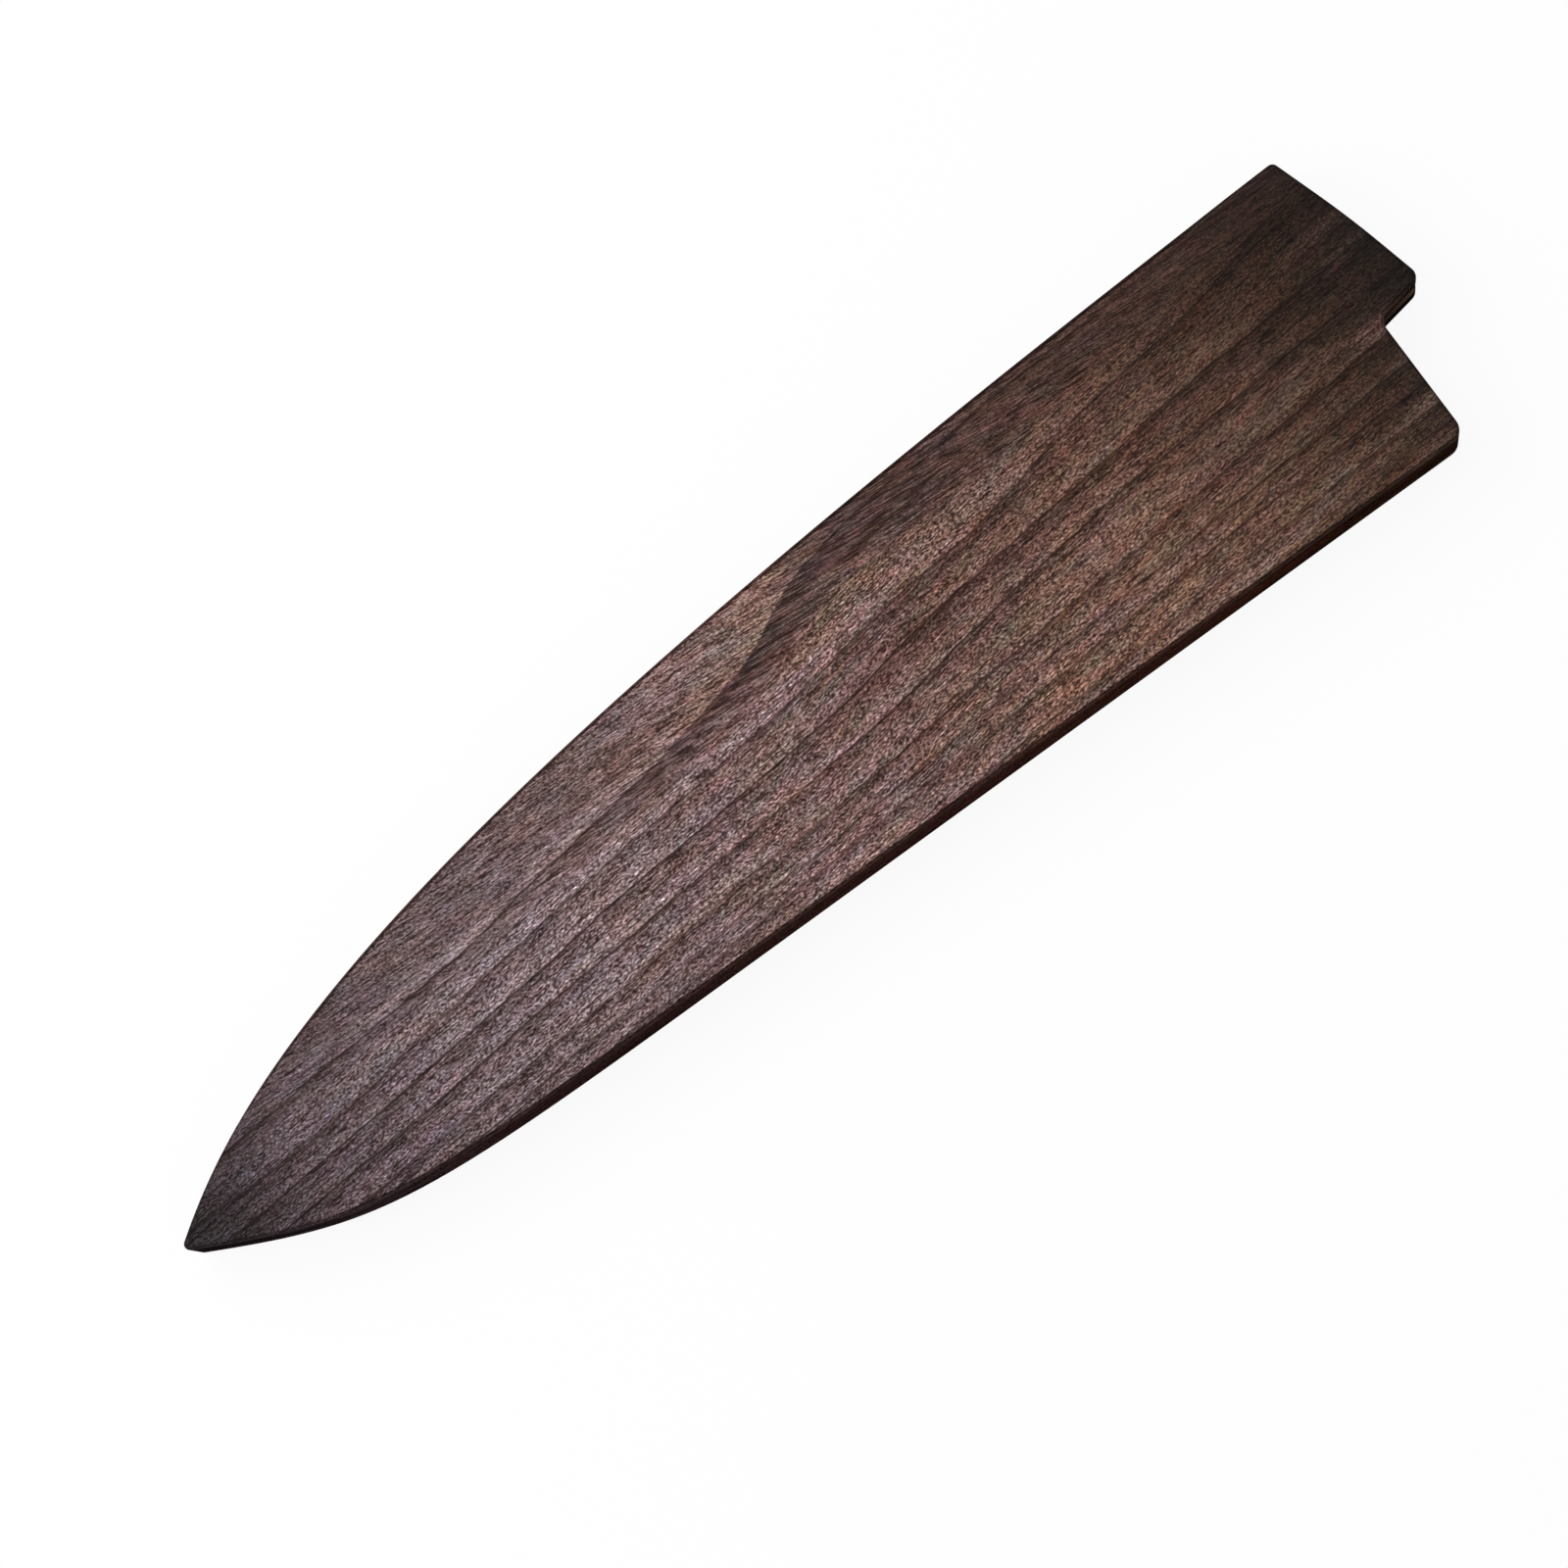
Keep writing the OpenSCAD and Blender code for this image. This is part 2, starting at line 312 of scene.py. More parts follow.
def colourAlong(tree, look, along):
    ramp = addNode(tree, "ShaderNodeValToRGB", {0: shareOf(tree, along, *look["colourSpan"])})
    stops = ramp.color_ramp.elements
    while len(stops) < len(look["colours"]):
        stops.new(0.5)
    for stop, (position, colour) in zip(stops, look["colours"]):
        stop.position = position
        stop.color = (*colour, 1.0)
    return ramp.outputs[0]


def walnutColour(tree, look, along, flowSpot, figure, topAbove, lowAbove):  # colour between the lines
    zones = colourZones
    over = [fade(tree, topAbove, *zone) for zone in zones["overFigure"]]
    overAlong = [fade(tree, along, *zone) for zone in zones["overFigureAlong"]]
    under = [fade(tree, lowAbove, *zone) for zone in zones["underFigure"]]
    underAlong = [fade(tree, along, *zone) for zone in zones["underFigureAlong"]]
    warmZone = highest(tree, product(tree, *over, *overAlong), product(tree, *under, *underAlong))
    warmPatches = fade(tree, grainNoise(tree, flowSpot, *zones["warmPatches"]), *zones["warmPatchShare"])
    warmPatches = product(tree, warmPatches, fade(tree, along, *zones["warmPatchAlong"]))
    warmth = highest(tree, product(tree, warmZone, look["warmShare"]), warmPatches)
    colour = blendColour(tree, warmth, colourAlong(tree, look, along), look["warmTint"])
    colour = blendColour(tree, product(tree, figure, look["figureShare"]), colour, look["figureTint"])

    tintAlong = fade(tree, along, *zones["tintAlong"])
    tints = ((zones["redPatches"], look["redTint"]), (zones["bluePatches"], look["blueTint"]))
    shares = []
    for pattern, strength in tints:
        patches = product(tree, grainSwing(tree, flowSpot, pattern), tintAlong)
        shares.append(calc(tree, "MULTIPLY_ADD", patches, strength, 1.0))
    tint = addNode(tree, "ShaderNodeCombineColor", {0: shares[0], 1: 1.0, 2: shares[1]})
    return blendColour(tree, 1.0, colour, tint.outputs[0], "MULTIPLY")


speckZones = {
    "figureAbove": (-3.0, 1.0),                 # mm from the figure's lower line
    "livelyFrom": (-128.0, -60.0, 0.8, 1.0),    # mm along the guard
    "livelyTo": (40.0, 110.0, 1.0, 0.65),
    "calmLines": 0.6,                           # how far the lines and the figure quieten the specks
    "calmFigure": 0.62,
}


def drawSpecks(tree, look, flowSpot, lowAbove, lines, figure):  # specks and streaks of every size, added up
    zones = speckZones
    specks = 0.0
    for pattern, *strengths in look["specks"]:
        strength = fade(tree, lowAbove, *zones["figureAbove"], *strengths)
        specks = calc(tree, "MULTIPLY_ADD", grainSwing(tree, flowSpot, pattern), strength, specks)
    along = flowSpot[0]
    lively = product(tree, fade(tree, along, *zones["livelyFrom"]), fade(tree, along, *zones["livelyTo"]))
    calm = highest(tree, product(tree, lines, zones["calmLines"]),
                   product(tree, figure, zones["calmFigure"]))
    return product(tree, specks, lively, leftOver(tree, calm))


def speckTone(tree, look, specks):  # the specks as a brightness, in which the bright ones stay moderate; the bright ones are partly painted sheen
    sparkle = look["sparkle"]
    tone = calc(tree, "MULTIPLY_ADD", calc(tree, "EXPONENT", specks), sparkle, 1 - sparkle)
    return calc(tree, "MULTIPLY_ADD", calc(tree, "TANH", specks), 1 - sparkle, tone)


poreLook = {
    "cut": 0.65,                          # a higher cut leaves fewer pores
    "darkCut": -0.13,                     # change of the cut where the wood is dark
    "shadeShare": 0.6,                    # how far a line's soft shade counts as dark wood
    "long": ((0.17, 3.9), 0.0, 173.0),
    "longSharp": 14.0,
    "fine": ((0.4, 5.6), 0.0, 184.0),
    "fineSharp": 8.0,
}


def drawPores(tree, flowSpot, shades, figure):  # short dark strokes, more of them where the wood is dark
    look = poreLook
    darker = highest(tree, product(tree, shades, look["shadeShare"]), figure)
    cut = calc(tree, "MULTIPLY_ADD", darker, look["darkCut"], look["cut"])
    longPores = calc(tree, "SUBTRACT", grainNoise(tree, flowSpot, *look["long"]), cut)
    finePores = calc(tree, "SUBTRACT", grainNoise(tree, flowSpot, *look["fine"]), cut)
    return highest(tree, calc(tree, "MULTIPLY", longPores, look["longSharp"], clamp=True),
                   calc(tree, "MULTIPLY", finePores, look["fineSharp"], clamp=True))


hatchLook = {
    "belowTop": (0.4, -0.2),              # mm from the figure's upper line
    "aboveLow": (-4.0, 1.0),              # mm from its lower line
    "start": (-60.0, -24.0, 0.5, 1.0),    # mm along the guard
    "end": (74.0, 36.0),
    "strokes": ((0.21, 2.5), 0.0, 195.0),
    "strokeShare": (0.46, 0.58),
}


def drawHatch(tree, flowSpot, topAbove, lowAbove):  # short strokes in the figure
    along = flowSpot[0]
    look = hatchLook
    zone = product(tree, fade(tree, topAbove, *look["belowTop"]), fade(tree, lowAbove, *look["aboveLow"]))
    zone = product(tree, zone, fade(tree, along, *look["start"]), fade(tree, along, *look["end"]))
    strokes = grainNoise(tree, flowSpot, *look["strokes"])
    return product(tree, fade(tree, strokes, *look["strokeShare"]), zone)


darkZones = {
    "lineWeights": ((0.035, 0.12), 2.0, 21.0),
    "lineWeightShare": (0.34, 0.55, 0.55, 1.0),
    "streakShift": 0.3,                   # mm below the nose line
    "streakSize": (1.3, 0.2),             # mm from the streak's middle
    "streakAlong": (-78.0, -104.0, 0.0),
}


def drawDarkness(tree, look, spot, ringPlace, noseAbove, lines, shades, figure):  # the darkest counts
    along = spot[0]
    zones = darkZones
    lineWeight = fade(tree, grainNoise(tree, spot, *zones["lineWeights"]), *zones["lineWeightShare"])
    knotX, knotY = look["knot"]["place"]
    fromKnot = {0: calc(tree, "SUBTRACT", along, knotX), 1: calc(tree, "SUBTRACT", ringPlace, knotY)}
    fromKnot = addNode(tree, "ShaderNodeCombineXYZ", fromKnot).outputs[0]
    knotAway = addNode(tree, "ShaderNodeVectorMath", {0: fromKnot}, operation="LENGTH").outputs["Value"]
    streakAway = calc(tree, "ABSOLUTE", calc(tree, "ADD", noseAbove, zones["streakShift"]))
    streak = fade(tree, streakAway, *zones["streakSize"])
    return highest(tree, product(tree, lines, lineWeight, look["lineDark"]),
                   product(tree, shades, look["shadeDark"]),
                   product(tree, figure, look["figureDark"]),
                   fade(tree, knotAway, *look["knot"]["size"], 0.0, look["knot"]["dark"]),
                   product(tree, streak, fade(tree, along, *zones["streakAlong"], look["noseDark"])))


shadeZones = {
    "edgeAcross": (-24.0, 26.0),                      # mm across the guard
    "edgeAlong": (20.0, 80.0),
    "foreAbove": (0.4, 4.0),                          # mm from the figure's upper line
    "foreAlong": (4.0, -36.0, 0.0),
    "middleAbove": [(1.0, -1.5), (-13.0, -8.0)],      # mm from the nose line
    "middleAlong": [(0.0, 24.0), (66.0, 50.0, 0.0)],
    "spineAcross": (-21.5, -25.0),                    # mm across the guard
    "spineAlong": [(-80.0, -55.0), (4.0, -24.0, 0.0)],
}


def broadShades(tree, look, along, across, topAbove, noseAbove):
    zones = shadeZones
    belowNose, aboveMiddle = zones["middleAbove"]
    middleFrom, middleTo = zones["middleAlong"]
    spineFrom, spineTo = zones["spineAlong"]
    return [
        product(tree, fade(tree, along, *zones["edgeAlong"]),
                fade(tree, across, *zones["edgeAcross"], *look["edgeDark"])),
        product(tree, fade(tree, topAbove, *zones["foreAbove"]),
                fade(tree, along, *zones["foreAlong"], look["foreDark"])),
        product(tree, fade(tree, noseAbove, *belowNose), fade(tree, noseAbove, *aboveMiddle),
                fade(tree, along, *middleFrom), fade(tree, along, *middleTo, look["middleDark"])),
        product(tree, fade(tree, across, *zones["spineAcross"]), fade(tree, along, *spineFrom),
                fade(tree, along, *spineTo, look["spineDark"]))]


def paintSideShade(tree, look, along, colour):  # painted shade: sides, ends and rounded edges are darkened where the surface turns from level
    normal = addNode(tree, "ShaderNodeNewGeometry").outputs["Normal"]
    upward = addNode(tree, "ShaderNodeSeparateXYZ", {0: normal}).outputs[2]
    sideShare = fade(tree, calc(tree, "ABSOLUTE", upward), *look["sideTurn"])
    shadedColour = blendColour(tree, 1.0, colour, look["sideShade"], "MULTIPLY")
    paintedShadeShare = product(tree, sideShare, fade(tree, along, *look["sideAtNose"]),
                       fade(tree, along, *look["sideAtMouth"]))
    return blendColour(tree, paintedShadeShare, colour, shadedColour), sideShare


surfaceLook = {
    "poreRough": 0.5,          # pores are rougher than the rest, bright specks smoother
    "speckRough": -0.4,
    "roughSpan": (-0.4, 0.8),
    "speckRelief": 0.6,        # bright specks stand up, pores and lines lie deep
    "bumpStrength": 0.6,
}


def makeWalnut(name, look):
    made, tree, shader = newMaterial(name)
    spot = plankPlace(tree, look)
    along, across = spot[:2]
    ringPlace = wanderingPlace(tree, spot)
    topAbove = aboveLine(tree, along, ringPlace, figureTop)
    lowAbove = aboveLine(tree, along, ringPlace, figureLow)
    noseAbove = aboveLine(tree, along, ringPlace, noseLine)
    lines, shades = drawGrowth(tree, along, ringPlace)
    figure = drawFigure(tree, spot, topAbove, lowAbove)
    flowSpot = grainFlow(tree, spot, lowAbove)
    specks = drawSpecks(tree, look, flowSpot, lowAbove, lines, figure)
    pores = drawPores(tree, flowSpot, shades, figure)
    hatch = drawHatch(tree, flowSpot, topAbove, lowAbove)
    darkness = drawDarkness(tree, look, spot, ringPlace, noseAbove, lines, shades, figure)

    tone = product(tree, speckTone(tree, look, specks), leftOver(tree, darkness),
                   calc(tree, "MULTIPLY_ADD", pores, -look["poreDark"], 1.0),
                   calc(tree, "MULTIPLY_ADD", hatch, -look["hatchDark"], 1.0))
    for shade in broadShades(tree, look, along, across, topAbove, noseAbove):
        tone = product(tree, tone, leftOver(tree, shade))
    tones = [calc(tree, "POWER", tone, power) for power in look["tonePowers"]]
    tones = addNode(tree, "ShaderNodeCombineColor", dict(enumerate(tones))).outputs[0]
    colour = walnutColour(tree, look, along, flowSpot, figure, topAbove, lowAbove)
    colour = blendColour(tree, 1.0, colour, tones, "MULTIPLY")
    colour, sideShare = paintSideShade(tree, look, along, colour)
    tree.links.new(colour, shader.inputs["Base Color"])

    surface = surfaceLook
    rough = product(tree, specks, surface["speckRough"])
    rough = calc(tree, "MULTIPLY_ADD", pores, surface["poreRough"], rough)
    rough = fade(tree, rough, *surface["roughSpan"], *look["roughness"])
    rough = calc(tree, "MULTIPLY_ADD", sideShare, look["sideRough"], rough, clamp=True)
    tree.links.new(rough, shader.inputs["Roughness"])
    shader.inputs["Specular IOR Level"].default_value = look["gloss"]
    raised = product(tree, specks, surface["speckRelief"])
    relief = calc(tree, "SUBTRACT", raised, highest(tree, pores, lines))
    addBump(tree, shader, surface["bumpStrength"], look["bump"], relief)
    return made


rawWalnut = {
    "colour": (0.155, 0.092, 0.062, 1),
    "darkColour": (0.060, 0.034, 0.024, 1),
    "colourSpan": (0.38, 0.62),
    "lean": -0.1,                              # mm across for each mm along
    "bands": ((0.01, 0.45), 2.0, 7.0, 0.6),    # a pattern, and its roughness
    "fibres": ((0.25, 4.5), 3.0, 17.0, 0.6),
    "cutterMarks": ((1.6, 0.12), 1.0, 27.0, 0.5),
    "bandShare": 0.5,
    "markShare": 0.5,
    "roughness": (0.78, 0.90),
    "roughSpan": (0.3, 0.7),
    "gloss": 0.25,
    "bump": 0.08,                              # mm
    "bumpStrength": 0.7,
}


def makeRawWalnut(name, look):  # the slot's inside, cut and left without oil
    made, tree, shader = newMaterial(name)
    place = addNode(tree, "ShaderNodeSeparateXYZ", {0: objectPlace(tree)})
    along, across, height = [calc(tree, "MULTIPLY", place.outputs[i], 1 / mm) for i in range(3)]
    grainSpot = (along, calc(tree, "MULTIPLY_ADD", along, look["lean"], across), height)
    bands = grainNoise(tree, grainSpot, *look["bands"])
    fibres = grainNoise(tree, grainSpot, *look["fibres"])
    cutterMarks = grainNoise(tree, (along, across, height), *look["cutterMarks"])
    mixed = calc(tree, "ADD", product(tree, bands, look["bandShare"]),
                 product(tree, fibres, 1 - look["bandShare"]))
    colour = blendColour(tree, fade(tree, mixed, *look["colourSpan"]), look["darkColour"], look["colour"])
    tree.links.new(colour, shader.inputs["Base Color"])
    tree.links.new(fade(tree, fibres, *look["roughSpan"], *look["roughness"]), shader.inputs["Roughness"])
    shader.inputs["Specular IOR Level"].default_value = look["gloss"]
    relief = calc(tree, "ADD", fibres, product(tree, cutterMarks, look["markShare"]))
    addBump(tree, shader, look["bumpStrength"], look["bump"], relief)
    return made


nickelPlate = {
    "colour": (0.62, 0.60, 0.57, 1),
    "dull": (0.40, 0.38, 0.36, 1),
    "dullSpan": (0.42, 0.68),
    "smears": {"Scale": 420.0, "Detail": 3.0},
    "grit": {"Scale": 3200.0, "Detail": 2.0},
    "roughness": (0.22, 0.42),
    "roughSpan": (0.35, 0.7),
    "bump": 0.01,                              # mm
    "bumpStrength": 0.3,
}


def makeNickel(name, look):  # plated magnet, a little dulled, with a fine grit
    made, tree, shader = newMaterial(name)
    place = objectPlace(tree)
    smears = addNode(tree, "ShaderNodeTexNoise", {"Vector": place, **look["smears"]}).outputs[0]
    grit = addNode(tree, "ShaderNodeTexNoise", {"Vector": place, **look["grit"]}).outputs[0]
    colour = blendColour(tree, fade(tree, smears, *look["dullSpan"]), look["colour"], look["dull"])
    tree.links.new(colour, shader.inputs["Base Color"])
    tree.links.new(fade(tree, smears, *look["roughSpan"], *look["roughness"]), shader.inputs["Roughness"])
    shader.inputs["Metallic"].default_value = 1.0
    addBump(tree, shader, look["bumpStrength"], look["bump"], grit)
    return made


backWalnut = {**faceWalnut, "shift": (9.0, -4.0), "topHeight": 0.0, "ringLean": -0.8}
coreWalnut = {**faceWalnut, "shift": (-14.0, 6.5), "topHeight": 9.0, "ringLean": 1.3}
matt = {"gloss": 0.0, "roughness": (0.80, 0.95)}  # the sides, sanded and without shine
frontOiled = [makeWalnut("frontWalnut", faceWalnut), makeWalnut("frontSide", {**faceWalnut, **matt})]
backOiled = [makeWalnut("backWalnut", backWalnut), makeWalnut("backSide", {**backWalnut, **matt})]
coreOiled = makeWalnut("coreSide", {**coreWalnut, **matt})
slotRaw = makeRawWalnut("slotWalnut", rawWalnut)
nickel = makeNickel("nickelPlate", nickelPlate)
print("materials made")


# Shapes

mergeGap = 0.002 * mm   # corners closer than this are one
levelGap = 0.01 * mm    # heights closer than this are one level
sharpAngle = 28.0       # degrees; an edge that turns more than this stays crisp


def mergedCopy(nodeName):  # the frame's own mesh stays as it is
    shape = bmesh.new()
    shape.from_mesh(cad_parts[nodeName].data)
    bmesh.ops.remove_doubles(shape, verts=shape.verts, dist=mergeGap)
    return shape


def finishPiece(shape, name, materials):
    bmesh.ops.recalc_face_normals(shape, faces=shape.faces)
    for face in shape.faces:
        face.smooth = True
    for edge in shape.edges:
        edge.smooth = len(edge.link_faces) == 2 and edge.calc_face_angle(0.0) < math.radians(sharpAngle)
    mesh = bpy.data.meshes.new(name)
    shape.to_mesh(mesh)
    shape.free()
    for material in materials:
        mesh.materials.append(material)
    piece = bpy.data.objects.new(name, mesh)
    bpy.context.scene.collection.objects.link(piece)
    return piece


def boardFace():  # the flat inner face of the front board as one face, its corners numbered in turn
    shape = mergedCopy("front_board")
    order = shape.verts.layers.int.new("order")
    level = min(v.co.z for v in shape.verts)
    others = [f for f in shape.faces if any(abs(v.co.z - level) > levelGap for v in f.verts)]
    bmesh.ops.delete(shape, geom=others, context="FACES")
    bmesh.ops.dissolve_faces(shape, faces=shape.faces[:])
    shape.faces.ensure_lookup_table()
    for i, v in enumerate(shape.faces[0].verts):
        v[order] = i
    return shape


boardEdges = {
    "glueEase": 0.07,     # mm, tiny chamfer along the glue line
    "glueSlope": 1.4,     # height of that chamfer for its width
    "spineEase": 0.65,    # mm, crisp edge along the spine side, the ends and the nose
    "edgeEase": 1.20,     # mm, softer edge along the cutting-edge side
    "easeDrop": 0.90,     # mm, how far down the crisp edge reaches
    "softDrop": 1.60,     # mm, how far down the soft edge reaches
    "steps": 7,
    "flatRing": 0.4,      # mm, a level ring that keeps the face's shading flat
    "softFrom": -112.0,   # mm along the guard, where the soft edge starts and ends
    "softTo": 112.0,
    "softRise": 25.0,     # mm, how long it takes to grow and to shrink
    "softFall": 12.0,
    "faceReach": 0.4,     # share of the thickness that takes the face's finish; the rest takes the side's
}


def softShare(point, outward, sizes):  # 1 on the cutting-edge side, 0 elsewhere
    rise = min(1.0, max(0.0, (point.x / mm - sizes["softFrom"]) / sizes["softRise"]))
    fall = min(1.0, max(0.0, (sizes["softTo"] - point.x / mm) / sizes["softFall"]))
    return max(0.0, outward.y) ** 2 * rise * fall


def outwardWays(face):  # the outline's corners and the level way out at each
    outline = [v.co.copy() for v in face.verts]
    turn = 1.0 if face.normal.z > 0 else -1.0
    ways = []
    for i, point in enumerate(outline):
        ahead = (outline[(i + 1) % len(outline)] - point).normalized()
        behind = (point - outline[i - 1]).normalized()
        way = (ahead + behind).normalized()
        ways.append(Vector((way.y, -way.x, 0.0)) * turn)
    return outline, ways


def between(crisp, soft, share):  # mm, as metres
    return (crisp + (soft - crisp) * share) * mm


def boardRings(softness, glueLevel, outerLevel, sizes):  # inset and height of every corner, ring by ring
    side = 1.0 if outerLevel > glueLevel else -1.0
    glue = sizes["glueEase"] * mm
    rings = [[(glue, glueLevel)] * len(softness),
             [(0.0, glueLevel + side * glue * sizes["glueSlope"])] * len(softness)]
    insets = [between(sizes["spineEase"], sizes["edgeEase"], soft) for soft in softness]
    drops = [between(sizes["easeDrop"], sizes["softDrop"], soft) for soft in softness]
    for step in range(sizes["steps"] + 1):
        angle = math.radians(90.0 * step / sizes["steps"])
        rings.append([(inset * (1 - math.cos(angle)), outerLevel - side * drop * (1 - math.sin(angle)))
                      for inset, drop in zip(insets, drops)])
    rings.append([(inset + sizes["flatRing"] * mm, outerLevel) for inset in insets])
    return rings


def makeBoard(name, glueLevel, outerLevel, sizes, materials):  # materials: face, side and slot
    shape = boardFace()
    order = shape.verts.layers.int["order"]
    base = face = shape.faces[0]
    outline, ways = outwardWays(face)
    softness = [softShare(point, way, sizes) for point, way in zip(outline, ways)]
    rings = boardRings(softness, glueLevel, outerLevel, sizes)
    for count, ring in enumerate(rings):
        if count > 0:
            grown = bmesh.ops.extrude_face_region(shape, geom=[face])["geom"]
            if face is not base:
                bmesh.ops.delete(shape, geom=[face], context="FACES_ONLY")
            face = [g for g in grown if isinstance(g, bmesh.types.BMFace)][0]
        for v in face.verts:
            inset, height = ring[v[order]]
            v.co = outline[v[order]] - ways[v[order]] * inset
            v.co.z = height
    shape.verts.layers.int.remove(order)
    rimLevel = outerLevel + (glueLevel - outerLevel) * sizes["faceReach"]
    for face in shape.faces:
        onGlueFace = all(abs(v.co.z - glueLevel) < levelGap for v in face.verts)
        onSide = abs(face.calc_center_median().z - glueLevel) < abs(rimLevel - glueLevel)
        face.material_index = 2 if onGlueFace else 1 if onSide else 0
    return finishPiece(shape, name, materials)


pocketCut = {"gap": 0.1, "over": 1.0, "segments": 64}  # mm round a magnet, mm past the board's inner face


def pocketCutter(magnets, sizes, materials):
    cutter = bmesh.new()
    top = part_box("back_board")[1].z + sizes["over"] * mm
    for magnet in magnets:
        low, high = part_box(magnet)
        centre = Vector(((low.x + high.x) / 2, (low.y + high.y) / 2, (low.z + top) / 2))
        radius = (high.x - low.x) / 2 + sizes["gap"] * mm
        bmesh.ops.create_cone(cutter, cap_ends=True, segments=sizes["segments"], radius1=radius,
                              radius2=radius, depth=top - low.z, matrix=Matrix.Translation(centre))
    for face in cutter.faces:
        face.material_index = 2
    return finishPiece(cutter, "pocketCutter", materials)


def cutPockets(board, magnets, sizes):  # round pockets for the magnets, a little wider than they are
    name, materials = board.name, list(board.data.materials)
    tool = pocketCutter(magnets, sizes, materials)
    cut = board.modifiers.new("pockets", "BOOLEAN")
    cut.operation = "DIFFERENCE"
    cut.solver = "EXACT"
    cut.object = tool
    bpy.context.view_layer.update()
    done = bpy.data.meshes.new_from_object(board.evaluated_get(bpy.context.evaluated_depsgraph_get()))
    bpy.data.objects.remove(tool)
    bpy.data.objects.remove(board)
    shape = bmesh.new()
    shape.from_mesh(done)
    return finishPiece(shape, name, materials)


stripEdges = {
    "glueEase": 0.07,   # mm
    "flatAngle": 0.05,  # degrees; faces that turn less than this are joined
    "rimAngle": 60.0,   # degrees; level edges that turn more than this are eased
    "slotTurn": 0.3,    # how squarely a face looks into the slot
}


def makeStrip(nodeName, name, slotSide, sizes, materials):  # slotSide: +1 or -1, where the slot is
    shape = mergedCopy(nodeName)
    bmesh.ops.dissolve_limit(shape, angle_limit=math.radians(sizes["flatAngle"]),
                             verts=shape.verts, edges=shape.edges)
    rims = [e for e in shape.edges if abs(e.verts[0].co.z - e.verts[1].co.z) < levelGap
            and e.calc_face_angle(0.0) > math.radians(sizes["rimAngle"])]
    bmesh.ops.bevel(shape, geom=rims, offset=sizes["glueEase"] * mm, offset_type="OFFSET", segments=1,
                    profile=0.5, affect="EDGES", material=-1)
    bmesh.ops.recalc_face_normals(shape, faces=shape.faces)
    for face in shape.faces:
        towardsSlot = face.normal.y * slotSide > sizes["slotTurn"]
        face.material_index = 1 if towardsSlot and abs(face.normal.z) < sizes["slotTurn"] else 0
    return finishPiece(shape, name, materials)


def putOn(piece, nodeName):  # the piece stands for a node of the frame
    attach(piece, "root")
    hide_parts(nodeName)


magnetNames = ["magnet_1", "magnet_2", "magnet_3", "magnet_4"]
backBottom, backTop = [corner.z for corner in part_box("back_board")]
frontBottom, frontTop = [corner.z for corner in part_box("front_board")]
frontBoard = makeBoard("frontBoard", frontBottom, frontTop, boardEdges, [*frontOiled, slotRaw])
backBoard = makeBoard("backBoard", backTop, backBottom, boardEdges, [*backOiled, slotRaw])
backBoard = cutPockets(backBoard, magnetNames, pocketCut)
edgeStrip = makeStrip("edge_strip", "edgeStrip", -1, stripEdges, [coreOiled, slotRaw])
spineStrip = makeStrip("spine_strip", "spineStrip", 1, stripEdges, [coreOiled, slotRaw])
putOn(frontBoard, "front_board")
putOn(backBoard, "back_board")
putOn(edgeStrip, "edge_strip")
putOn(spineStrip, "spine_strip")
for nodeName in magnetNames:
    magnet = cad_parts[nodeName]
    magnet.data.materials.clear()
    magnet.data.materials.append(nickel)
print("pieces made")


# Floor, light and camera

def seenRays(tree):  # 1 for rays that show the background
    rays = addNode(tree, "ShaderNodeLightPath")
    shown = calc(tree, "ADD", rays.outputs["Is Camera Ray"], rays.outputs["Is Glossy Ray"])
    return calc(tree, "ADD", shown, rays.outputs["Is Transmission Ray"], clamp=True)


paleFloor = {
    "size": 2.5,                              # m, half its width
    "sink": 0.1,                              # mm below the guard
    "colour": (0.78, 0.78, 0.78, 1),          # as the guard receives its light
    "seenColour": (1.0, 1.0, 1.0, 1),         # as the camera sees it
    "glow": (1, 1, 1, 1),
    "glowShare": 0.92,                        # the rest keeps the guard's shadow
}


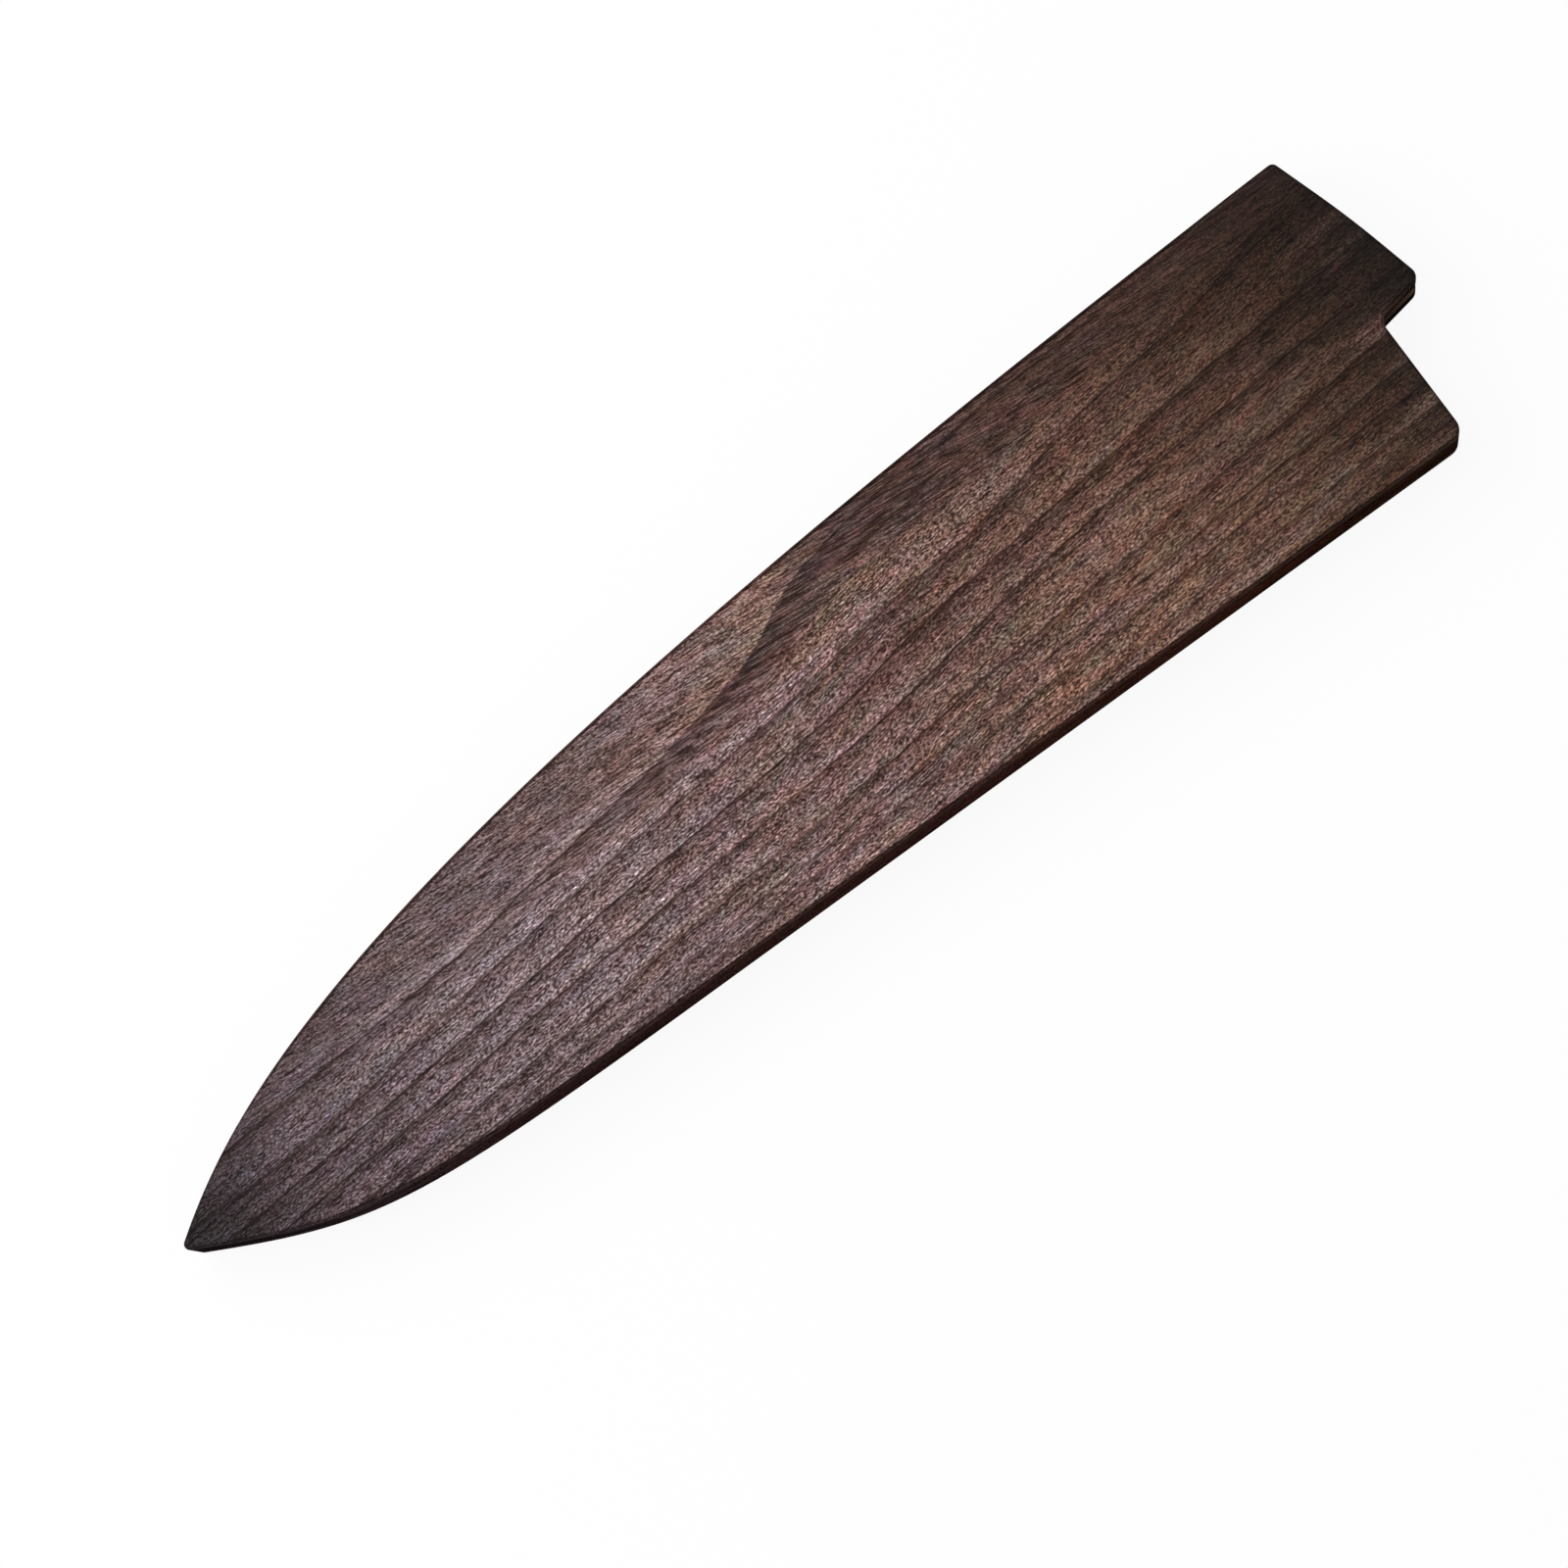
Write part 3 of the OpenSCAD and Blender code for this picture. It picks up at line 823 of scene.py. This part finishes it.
def makeFloor(look):
    shape = bmesh.new()
    bmesh.ops.create_grid(shape, x_segments=1, y_segments=1, size=look["size"],
                          matrix=Matrix.Translation((0, 0, -look["sink"] * mm)))
    made, tree, shader = newMaterial("paleFloor")
    tree.nodes.remove(shader)
    plain = addNode(tree, "ShaderNodeBsdfDiffuse", {"Color": look["colour"]})
    bright = addNode(tree, "ShaderNodeBsdfDiffuse", {"Color": look["seenColour"]})
    glow = addNode(tree, "ShaderNodeEmission", {"Color": look["glow"], "Strength": 1.0})
    seen = addNode(tree, "ShaderNodeMixShader",
                   {0: look["glowShare"], 1: bright.outputs[0], 2: glow.outputs[0]})
    mixed = addNode(tree, "ShaderNodeMixShader",
                    {0: seenRays(tree), 1: plain.outputs[0], 2: seen.outputs[0]})
    tree.links.new(mixed.outputs[0], tree.nodes["Material Output"].inputs[0])
    finishPiece(shape, "floor", [made])


roomLight = {
    "ambient": 0.45,
    "background": 1.0,
    "colour": (1, 1, 1, 1),
    "keyPower": 7.5,
    "keySize": 0.9,
    "keyPlace": (-0.40, 0.45, 0.75),
}


def makeLight(look):
    world = bpy.data.worlds.new("room")
    bpy.context.scene.world = world
    world.use_nodes = True
    tree = world.node_tree
    background = tree.nodes["Background"]
    background.inputs["Color"].default_value = look["colour"]
    strength = addNode(tree, "ShaderNodeMapRange",
                       {0: seenRays(tree), 3: look["ambient"], 4: look["background"]})
    tree.links.new(strength.outputs[0], background.inputs["Strength"])
    lamp = bpy.data.lights.new("softBox", "AREA")
    lamp.shape = "SQUARE"
    lamp.size = look["keySize"]
    lamp.energy = look["keyPower"]
    key = bpy.data.objects.new("softBox", lamp)
    key.location = look["keyPlace"]
    key.rotation_euler = (-Vector(look["keyPlace"])).to_track_quat("-Z", "Y").to_euler()
    bpy.context.scene.collection.objects.link(key)


cameraSpot = {
    "place": (0.0079, -0.1495, 0.9395),   # where the photograph was taken from
    "target": (-0.0043, -0.0084, 0.0135),
    "turn": 36.0,                         # degrees the guard rises to the right in the picture
    "lens": 131.8,
    "sensor": 36.0,
}


def makeCamera(look):
    lens = bpy.data.cameras.new("camera")
    lens.lens = look["lens"]
    lens.sensor_width = look["sensor"]
    camera = bpy.data.objects.new("camera", lens)
    back = (Vector(look["place"]) - Vector(look["target"])).normalized()
    level = (Vector((1, 0, 0)) - back * back.x).normalized()
    rise = back.cross(level)
    turn = math.radians(look["turn"])
    right = level * math.cos(turn) - rise * math.sin(turn)
    up = level * math.sin(turn) + rise * math.cos(turn)
    turned = Matrix((right, up, back)).transposed().to_4x4()
    camera.matrix_world = Matrix.Translation(look["place"]) @ turned
    bpy.context.scene.collection.objects.link(camera)
    bpy.context.scene.camera = camera


makeFloor(paleFloor)
makeLight(roomLight)
makeCamera(cameraSpot)
bpy.context.scene.view_settings.view_transform = "Standard"
print("floor, light and camera made")
